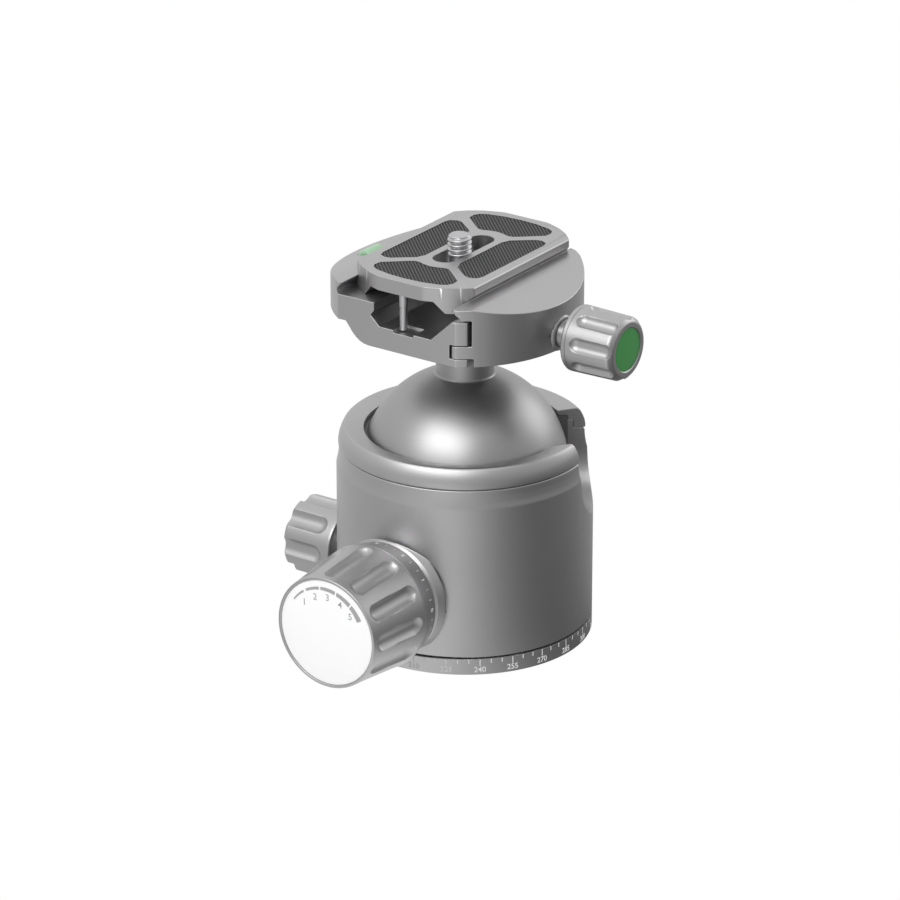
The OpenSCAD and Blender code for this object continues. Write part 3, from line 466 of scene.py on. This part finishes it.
def at_drop_slot(middle):
    """Where the drop slot breaks out of the barrel's side."""
    slot_half, side_r, low, top = 12.6, 32.3, 24, 45.5
    across = abs(-middle.x * math.sin(drop_turn) + middle.y * math.cos(drop_turn))
    out = middle.x * math.cos(drop_turn) + middle.y * math.sin(drop_turn)
    return out > 0 and across < slot_half and math.hypot(middle.x, middle.y) > side_r and low < middle.z < top


def at_pads(middle):
    """The recesses of the pads, in the top of the plate."""
    wide, long, low = 16.6, 27, 103
    return middle.z > low and abs(middle.x - plate_mid[0]) < wide and abs(middle.y - plate_mid[1]) < long


# %% Round the milled pieces
rounded("housing", "barrel", 0.15, crease=9, keep=at_drop_slot, reshape=cove)
rounded("rim_ring", "barrel", 0.2)
rounded("base_plate", "base", 0.15)
rounded("collar_race", "barrel", 0.15)
rounded("drag_ring", "drag", 0.15)
rounded("clamp_body", "clamp", 0.22, crease=12)
rounded("moving_jaw", "jaw", 0.22, crease=12)
rounded("camera_plate", "plate", 0.15, crease=9, keep=at_pads)

# %% [markdown]
# ## White and green discs
# The white disc in the main grip is a glossy moulding that snaps into a seat, and the
# green one is anodised and pressed in. Both are turned profiles with a rounded edge.

# %% Discs
def disc(radius, back, front, around):
    return turned(soften([(0, back), (radius, back), (radius, front), (0, front)], 0.12), around)


white_front = 61.55
piece("white_disc_turned", "main_grip", "white_disc", *disc(14.18, 60.8, white_front, 192),
      place=along(main_axis, "-y"), stands_for=("main_knob_cap",))
piece("green_disc_turned", "clamp_grip", "green_disc", *disc(5.68, 49.12, 49.9, 128),
      place=along(clamp_axis, "+x"), stands_for=("clamp_knob_cap",))

# %% [markdown]
# ## Printed and engraved marks
# A mark is a thin flat shape laid on a surface. Figures come from a text object, which
# is made a mesh before it is wrapped onto its cylinder, cone or disc. Each mark stands
# proud by a few hundredths of a millimetre, like ink or a filled engraving.

# %% Figures and bars as flat meshes
def figures(text, size):
    """The triangles of a short text, centred, in mm."""
    curve = bpy.data.curves.new("figures", "FONT")
    curve.body = text
    curve.size = size
    curve.align_x = "CENTER"
    curve.resolution_u = 4
    curve.offset = 0.025
    flat = applied(curve)
    return np.array([v.co[:2] for v in flat.vertices], float), [tuple(f.vertices) for f in flat.polygons]


def bar(x0, x1, y0, y1):
    """A flat upright bar."""
    return np.array([(x0, y0), (x1, y0), (x0, y1), (x1, y1)], float), [(0, 1, 3, 2)]


def lay(marks, surface):
    """Join flat marks and bend them onto a surface(x, y) given in mm."""
    verts, faces = [], []
    for points, own in marks:
        faces += [tuple(i + len(verts) for i in f) for f in own]
        verts += [surface(x, y) for x, y in points]
    return np.array(verts, float), faces


def mark_piece(name, body, marks, surface, look, slot, place=None):
    """Marks bent onto a surface, made as thick as a layer of ink."""
    ink = 0.03 * mm
    flat = mesh_of(name, *lay(marks, surface), place)
    declare(name, applied(flat, ("SOLIDIFY", {"thickness": ink, "offset": -1})), body, slot, look=look)


engraved = grained("engraved_pale", (0.82, 0.82, 0.82), 0, 0.6, grain=0.2, deep=0.1)
printed = grained("printed_grey", (0.36, 0.36, 0.36), 0, 0.4, grain=0.3, deep=0.05, cloud=0.02)

# %% [markdown]
# The foot carries a scale of degrees to read the pan by: a short line every 5 degrees,
# and a longer one with its figure every 15.

# %% Scale of degrees on the foot
scale_start, line_half, line_top = -288.5, 0.12, 4.45
marks = []
for degree in range(0, 360, 5):
    centre = math.radians(degree + scale_start) * body_r
    numbered = degree % 15 == 0
    points, own = bar(-line_half, line_half, 2.65 if numbered else 3.35, line_top)
    marks.append((points + [centre, 0], own))
    if numbered:
        points, own = figures(str(degree), 2.1)
        marks.append((points + [centre, 0.95], own))


def on_foot(x, y):
    proud = body_r + 0.02
    return (proud * math.cos(x / body_r), proud * math.sin(x / body_r), y)


mark_piece("degree_scale", "base", marks, on_foot, engraved, "satin_metal")

# %% [markdown]
# The drag ring is a cone with the hours of a dial round it: twelve figures, and two
# short lines between each and the next.

# %% Figures on the drag ring
dial_r, dial_middle = 15.8, 37.4
ring_back, ring_front, ring_r0, ring_r1 = 35.2, 41.4, 15.3, 16.7
marks = []
for k in range(36):
    centre = math.radians(k * 10 + 5) * dial_r
    if k % 3 == 0:
        points, own = figures(str(k // 3), 2.0)
        marks.append((points + [centre, -0.7], own))
    else:
        points, own = bar(-0.08, 0.08, -0.5, 0.5)
        marks.append((points + [centre, 0], own))


def on_drag(x, y):
    depth = dial_middle + y
    r = ring_r0 + (depth - ring_back) / (ring_front - ring_back) * (ring_r1 - ring_r0) + 0.03
    return (r * math.cos(x / dial_r), r * math.sin(x / dial_r), depth)


mark_piece("drag_figures", "drag", marks, on_drag, engraved, "satin_metal", along(main_axis, "-y"))

# %% [markdown]
# The white disc shows how tight the main grip is, with a bow of five bars that grow
# wider towards the tight end. Plain figures number them.

# %% Gauge on the white disc
gauge_bars = ((146.4, 126.1), (121.9, 101.1), (98.7, 76.9), (74.5, 52.2), (50.1, 28.7))
gauge_start, gauge_end = gauge_bars[0][0], gauge_bars[-1][1]
gauge_r, thin, grow, bends = 12.4, 0.4, 1.1, 12
mark_height = white_front + 0.015
marks = []
for first, last in gauge_bars:
    turn = np.linspace(first, last, bends)
    inner = gauge_r - thin - (gauge_start - turn) / (gauge_start - gauge_end) * grow
    points = [(math.radians(a), gauge_r) for a in turn] + [(math.radians(a), r) for a, r in zip(turn, inner)]
    marks.append((points, [(k, k + 1, k + bends + 1, k + bends) for k in range(bends - 1)]))


def polar(a, r):
    return (r * math.cos(a), r * math.sin(a), mark_height)


mark_piece("gauge", "main_grip", marks, polar, printed, "white_disc", along(main_axis, "-y"))

# %% Figures under the gauge
figures_r, drop = 9.6, 0.7
marks = []
for k, a in enumerate((136, 111.5, 88, 63.5, 39.5)):
    points, own = figures(str(k + 1), 2.6)
    shift = [figures_r * math.cos(math.radians(a)), figures_r * math.sin(math.radians(a)) - drop]
    marks.append((points + shift, own))


def upright(x, y):
    return (x, y, mark_height)


mark_piece("gauge_figures", "main_grip", marks, upright, printed, "white_disc", along(main_axis, "-y"))

# %% [markdown]
# ## Rubber pads
# Four ribbed rubber pads are glued into the plate so that a camera does not twist on it.
# The ribs are one bar repeated at a fixed step, so Geometry Nodes lay the bars in a row,
# turn them across the plate and keep only what lies inside the pad's outline. The rubber
# sits a quarter of a millimetre inside its recess, which leaves a fine dark line.

# %% Outlines of the pads, as shares of half the plate
side_half = [(0.295, 0.33), (0.35, 0.416), (0.634, 0.56), (0.72, 0.573), (0.82, 0.545), (0.852, 0.483)]
side_pad = [(x, -y) for x, y in side_half[:1]] + side_half + [(x, -y) for x, y in side_half[:0:-1]]
end_outer = [(0.656, 0.7), (0.667, 0.776), (0.623, 0.832), (0.525, 0.867), (0.273, 0.902)]
end_inner = [(0.12, 0.521), (0.219, 0.497), (0.295, 0.504), (0.372, 0.542)]
end_pad = end_outer + [(0, 0.913)] + [(-x, y) for x, y in end_outer[::-1] + end_inner[::-1]] + [(0, 0.535)]
end_pad += end_inner


def inset(points, by):
    """Move every corner of an outline inwards, square to its two sides."""
    out, n = [], len(points)
    turn = sum(points[i - 1][0] * points[i][1] - points[i][0] * points[i - 1][1] for i in range(n))
    for i, p in enumerate(points):
        a, b = np.subtract(p, points[i - 1]), np.subtract(points[(i + 1) % n], p)
        na, nb = np.array([-a[1], a[0]]) / np.hypot(*a), np.array([-b[1], b[0]]) / np.hypot(*b)
        out.append(tuple(np.array(p) + (na + nb) / (1 + na @ nb) * by * (1 if turn > 0 else -1)))
    return out


def prism(outline, height):
    """An upright block in mm with its foot at zero."""
    n = len(outline)
    verts = [(x, y, z) for z in (0, height) for x, y in outline]
    faces = [tuple(range(n))[::-1], tuple(range(n, 2 * n))]
    faces += [(i, (i + 1) % n, n + (i + 1) % n, n + i) for i in range(n)]
    return np.array(verts, float), faces


# %% [markdown]
# The tree has named inputs for the count, step, side and turn of the ribs. A square bar
# tipped by 45 degrees shows one of its edges as a crest, which gives the V shape that
# moulded ribs have.

# %% Inputs of the rib tree
pad_high, rib_turn, tipped = 0.6, math.radians(-45), math.radians(45)
ribs = bpy.data.node_groups.new("ribbed rubber", "GeometryNodeTree")
ribs.interface.new_socket("Geometry", in_out="OUTPUT", socket_type="NodeSocketGeometry")
for title, kind, value in (
        ("Geometry", "Geometry", None), ("Rib Count", "Int", 60), ("Rib Step", "Float", 0.82 * mm),
        ("Rib Side", "Float", 0.42 * mm), ("Rib Turn", "Float", rib_turn), ("Base Share", "Float", 0.4),
        ("Pad Height", "Float", pad_high * mm), ("Material", "Material", None)):
    socket = ribs.interface.new_socket(title, in_out="INPUT", socket_type="NodeSocket" + kind)
    if value is not None:
        socket.default_value = value
sockets = {item.name: item.identifier for item in ribs.interface.items_tree if item.in_out == "INPUT"}
print("inputs of the rib tree:", ", ".join(sockets))

# %% Nodes that lay ribs inside an outline
group_in, group_out = add(ribs, "NodeGroupInput"), add(ribs, "NodeGroupOutput")
half_count = add(ribs, "ShaderNodeMath", operation="MULTIPLY")
half_count.inputs[1].default_value = -0.5
row_start = add(ribs, "ShaderNodeMath", operation="MULTIPLY")
start_at = add(ribs, "ShaderNodeCombineXYZ")
step_by = add(ribs, "ShaderNodeCombineXYZ")
row = add(ribs, "GeometryNodeMeshLine", mode="OFFSET")
rib_size = add(ribs, "ShaderNodeCombineXYZ", X=120 * mm)
bar_mesh = add(ribs, "GeometryNodeMeshCube")
tip_over = add(ribs, "FunctionNodeEulerToRotation", Euler=(tipped, 0, 0))
on_row = add(ribs, "GeometryNodeInstanceOnPoints")
real = add(ribs, "GeometryNodeRealizeInstances")
base_high = add(ribs, "ShaderNodeMath", operation="MULTIPLY")
lift = add(ribs, "ShaderNodeCombineXYZ")
turn_row = add(ribs, "ShaderNodeCombineXYZ")
place_row = add(ribs, "GeometryNodeTransform")
inside = add(ribs, "GeometryNodeMeshBoolean", operation="INTERSECT")
flatten = add(ribs, "ShaderNodeCombineXYZ", X=1.0, Y=1.0)
base = add(ribs, "GeometryNodeTransform")
together = add(ribs, "GeometryNodeJoinGeometry")
paint = add(ribs, "GeometryNodeSetMaterial")

# %% Links of the rib tree
given = group_in.outputs
wire(ribs, (given["Rib Count"], half_count.inputs[0]), (half_count.outputs[0], row_start.inputs[0]),
     (given["Rib Step"], row_start.inputs[1]), (row_start.outputs[0], start_at.inputs["Y"]),
     (given["Rib Step"], step_by.inputs["Y"]), (given["Rib Count"], row.inputs["Count"]),
     (start_at.outputs[0], row.inputs["Start Location"]), (step_by.outputs[0], row.inputs["Offset"]),
     (given["Rib Side"], rib_size.inputs["Y"]), (given["Rib Side"], rib_size.inputs["Z"]),
     (rib_size.outputs[0], bar_mesh.inputs["Size"]), (row.outputs["Mesh"], on_row.inputs["Points"]),
     (bar_mesh.outputs["Mesh"], on_row.inputs["Instance"]), (tip_over.outputs[0], on_row.inputs["Rotation"]),
     (on_row.outputs[0], real.inputs[0]), (given["Pad Height"], base_high.inputs[0]),
     (given["Base Share"], base_high.inputs[1]), (base_high.outputs[0], lift.inputs["Z"]),
     (given["Rib Turn"], turn_row.inputs["Z"]), (real.outputs[0], place_row.inputs["Geometry"]),
     (lift.outputs[0], place_row.inputs["Translation"]), (turn_row.outputs[0], place_row.inputs["Rotation"]),
     (given["Geometry"], inside.inputs["Mesh 2"]), (place_row.outputs[0], inside.inputs["Mesh 2"]),
     (given["Base Share"], flatten.inputs["Z"]), (given["Geometry"], base.inputs["Geometry"]),
     (flatten.outputs[0], base.inputs["Scale"]), (inside.outputs["Mesh"], together.inputs[0]),
     (base.outputs[0], together.inputs[0]), (together.outputs[0], paint.inputs["Geometry"]),
     (given["Material"], paint.inputs["Material"]), (paint.outputs[0], group_out.inputs[0]))

# %% [markdown]
# Each pair of pads is one outline at two turns. The tree runs on a plain block of the
# pad's shape, and the result is moved into its recess.

# %% Four ribbed pads
pad_corner, pad_gap, pad_sunk = 1.2, 0.22, 0.5
in_plate = Matrix.Translation((plate_mid[0] * mm, plate_mid[1] * mm, (plate_top - pad_sunk) * mm))
for node, shares, turn in (("pad_left", side_pad, 180), ("pad_right", side_pad, 0),
                           ("pad_front", end_pad, 180), ("pad_rear", end_pad, 0)):
    c, s = math.cos(math.radians(turn)), math.sin(math.radians(turn))
    outline = [(c * a * plate_half[0] - s * b * plate_half[1], s * a * plate_half[0] + c * b * plate_half[1])
               for a, b in shares]
    outline = inset(soften(outline, pad_corner, 3, closed=True), pad_gap)
    block = mesh_of(node + "_block", *prism(outline, pad_high))
    finish_mesh(block)
    ready = applied(block, ("NODES", {"node_group": ribs, sockets["Material"]: finish["pad_rubber"]}))
    ready.transform(in_plate)
    ready.shade_flat()
    declare(node + "_ribbed", ready, "plate", "pad_rubber", (node,))

# %% [markdown]
# ## The camera screw
# A quarter-inch screw with twenty threads to the inch stands out of the plate. Its
# thread is one groove wound round a rod: the radius at a point depends on height and
# angle together, so the same fine grid as on the grips can carry it. The hexagon of its
# socket is bent out of the same grid.

# %% Camera screw
crest, groove_deep, pitch = 3.17, 0.62, 1.27
head_foot, head_top, head_r, socket_end, socket_r, shank_r = 97, 99.5, 6.3, 98.5, 2.3, 2.6
screw_tip, tip_r, cone_r = plate_top + 4.6, 2.3, 2.45
thread_start = plate_top - 0.6
screw_y = 0.9


def thread(angle, radius, height):
    if height < socket_end + 0.1 and radius[0] < socket_r + 0.05:
        flat = math.pi / 3
        return radius * math.cos(flat / 2) / np.cos(angle % flat - flat / 2)
    if height < thread_start or radius[0] < tip_r - 0.1:
        return radius
    wave = 0.5 + 0.5 * np.cos(2 * math.pi * (height / pitch - angle / (2 * math.pi)))
    return np.minimum(radius, crest - groove_deep * wave ** 1.3)


profile = [(0, socket_end), (socket_r, socket_end), (socket_r, head_foot)]
profile += soften([(shank_r, head_foot), (head_r, head_foot), (head_r, head_top), (shank_r, head_top)])[1:-1]
profile += [(shank_r, head_top), (shank_r, plate_top - 0.7), (crest, plate_top - 0.5),
            (crest, screw_tip - 0.75), (cone_r, screw_tip - 0.05), (tip_r, screw_tip), (0, screw_tip)]
piece("camera_screw_threaded", "camera_thread", "bright_steel",
      *turned(dense(profile, 0.11), 144, False, thread),
      place=Matrix.Translation((plate_mid[0] * mm, screw_y * mm, 0)), stands_for=("camera_screw",))

# %% [markdown]
# ## The spirit level
# The level is a small glass tube of green spirit, let into the fixed jaw so that its
# crown shows. A turned capsule makes the tube.

# %% Level tube
level_mid, level_r, level_half = (-29.03, -0.45, 96.94), 2.48, 3.3
level = Matrix.Translation([v * mm for v in level_mid]) @ Matrix.Rotation(math.radians(90), 4, "X")
profile = soften([(0, -level_half), (level_r, -level_half), (level_r, level_half), (0, level_half)], 0.7, 6)
piece("level_tube", "clamp", "level_green", *turned(profile, 64), place=level, stands_for=("level_vial",))

# %% [markdown]
# ## Stop pins
# A pin at each end of the plate stops it from sliding out of the clamp. It is turned
# with a thicker head, and a small chamfer under the head catches the light as a ring.

# %% Stop pins
pin_x, pin_ends = -2.1, (-24.4, 29.8)
pin_foot, pin_neck, pin_top, pin_r, pin_head_r = 90.2, 96.5, 101.9, 1.05, 1.2
profile = soften([(0, pin_foot), (pin_r, pin_foot), (pin_r, pin_neck - 0.15), (pin_head_r, pin_neck),
                  (pin_head_r, pin_top), (0, pin_top)], 0.1)
pin, sides = turned(profile, 64)
pins = np.concatenate([pin + [pin_x, y, 0] for y in pin_ends])
piece("stop_pins_turned", "plate", "bright_steel", pins,
      sides + [tuple(i + len(pin) for i in f) for f in sides], stands_for=("stop_pins",))

# %% [markdown]
# ## Floor and light
# The floor is white to the camera and in the metal, and plain pale paint to the rest of
# the light, so it keeps the object's shadow. What the metal sees of it is white in front
# and falls off round the object to the right, as in a studio that is lit from one side.

# %% Floor
floor_half = 6
corners = ((-1, -1), (1, -1), (1, 1), (-1, 1))
floor_mesh = bpy.data.meshes.new("floor")
floor_mesh.from_pydata([(x * floor_half, y * floor_half, 0) for x, y in corners], [], [(0, 1, 2, 3)])
floor = bpy.data.objects.new("floor", floor_mesh)
scene.collection.objects.link(floor)
floor_paint, ft, fs = new_material("floor_paint")
fs.inputs["Base Color"].default_value = (0.8, 0.8, 0.8, 1)
fs.inputs["Roughness"].default_value = 0.9
floor.data.materials.append(floor_paint)

# %% [markdown]
# The ramp below goes once round the object, from -X by way of -Y, +X and +Y. Each stop
# gives a share of the turn and how light the floor is there in a reflection.

# %% What the metal sees of the floor
white = add(ft, "ShaderNodeEmission", Strength=1.0)
graded = add(ft, "ShaderNodeEmission")
spot = add(ft, "ShaderNodeTexCoord")
sweep = add(ft, "ShaderNodeTexGradient", gradient_type="RADIAL")
pools = add(ft, "ShaderNodeValToRGB")
for k, (turn, light) in enumerate((
        (0.0, 0.7), (0.097, 0.6), (0.15, 0.55), (0.222, 0.78), (0.2775, 1.0), (0.314, 0.95),
        (0.347, 0.72), (0.386, 0.48), (0.422, 0.31), (0.461, 0.19), (0.514, 0.13),
        (0.6, 0.2), (0.71, 0.42), (0.79, 0.62), (0.86, 0.8), (0.95, 0.8), (1.0, 0.7))):
    stop = pools.color_ramp.elements[k] if k < 2 else pools.color_ramp.elements.new(turn)
    stop.position = turn
    stop.color = (light, light, light, 1)
path = add(ft, "ShaderNodeLightPath")
seen = add(ft, "ShaderNodeMath", operation="MAXIMUM")
plain = add(ft, "ShaderNodeMixShader")
shiny = add(ft, "ShaderNodeMixShader")
wire(ft, (spot.outputs["Object"], sweep.inputs["Vector"]), (sweep.outputs["Fac"], pools.inputs["Fac"]),
     (pools.outputs["Color"], graded.inputs["Color"]),
     (path.outputs["Is Camera Ray"], seen.inputs[0]), (path.outputs["Is Transmission Ray"], seen.inputs[1]),
     (seen.outputs[0], plain.inputs["Fac"]), (fs.outputs["BSDF"], plain.inputs[1]),
     (white.outputs[0], plain.inputs[2]), (path.outputs["Is Glossy Ray"], shiny.inputs["Fac"]),
     (plain.outputs[0], shiny.inputs[1]), (graded.outputs[0], shiny.inputs[2]),
     (shiny.outputs[0], ft.nodes["Material Output"].inputs["Surface"]))

# %% [markdown]
# The room is white to the camera. For the light it is pale above and behind the object
# and darker towards the camera, so that polished sides darken where they face it.

# %% World: pale above and behind the object
world = bpy.data.worlds.new("studio")
scene.world = world
world.use_nodes = True
wt = world.node_tree
sky = wt.nodes["Background"]
sky.inputs["Color"].default_value = (1, 1, 1, 1)
look_way = add(wt, "ShaderNodeTexCoord")
behind = add(wt, "ShaderNodeVectorMath", operation="DOT_PRODUCT")
behind.inputs[1].default_value = -toward * 0.5 - right * 0.15 + Vector((0, 0, 0.7))
pale = add(wt, "ShaderNodeMapRange", interpolation_type="SMOOTHSTEP",
           **{"From Min": -0.6, "From Max": 0.9, "To Min": 0.36, "To Max": 0.9})
to_camera = add(wt, "ShaderNodeLightPath")
strongest = add(wt, "ShaderNodeMath", operation="MAXIMUM")
wire(wt, (look_way.outputs["Generated"], behind.inputs[0]), (behind.outputs["Value"], pale.inputs["Value"]),
     (pale.outputs["Result"], strongest.inputs[0]), (to_camera.outputs["Is Camera Ray"], strongest.inputs[1]),
     (strongest.outputs[0], sky.inputs["Strength"]))

# %% [markdown]
# One large soft lamp stands high at the front left and makes the broad highlights. A
# weak one at the right opens the dark side.

# %% Lamps
def softbox(name, turn, up, distance, wide, tall, watts, aim=0.05):
    """A lamp at an angle round the camera's own direction and above the floor."""
    lamp = bpy.data.objects.new(name, bpy.data.lights.new(name, "AREA"))
    scene.collection.objects.link(lamp)
    a, b = camera_turn + math.radians(turn - 90), math.radians(up)
    lamp.location = Vector((math.cos(a) * math.cos(b), math.sin(a) * math.cos(b), math.sin(b))) * distance
    lamp.location.z += aim
    lamp.rotation_euler = (Vector((0, 0, aim)) - lamp.location).to_track_quat("-Z", "Y").to_euler()
    lamp.data.shape = "RECTANGLE"
    lamp.data.size = wide
    lamp.data.size_y = tall
    lamp.data.energy = watts
    print(f"{name}: {watts} W")


softbox("key", turn=-33, up=44, distance=1.2, wide=1.1, tall=0.6, watts=7.3)
softbox("side", turn=122, up=22, distance=1.3, wide=0.8, tall=0.6, watts=1.9)
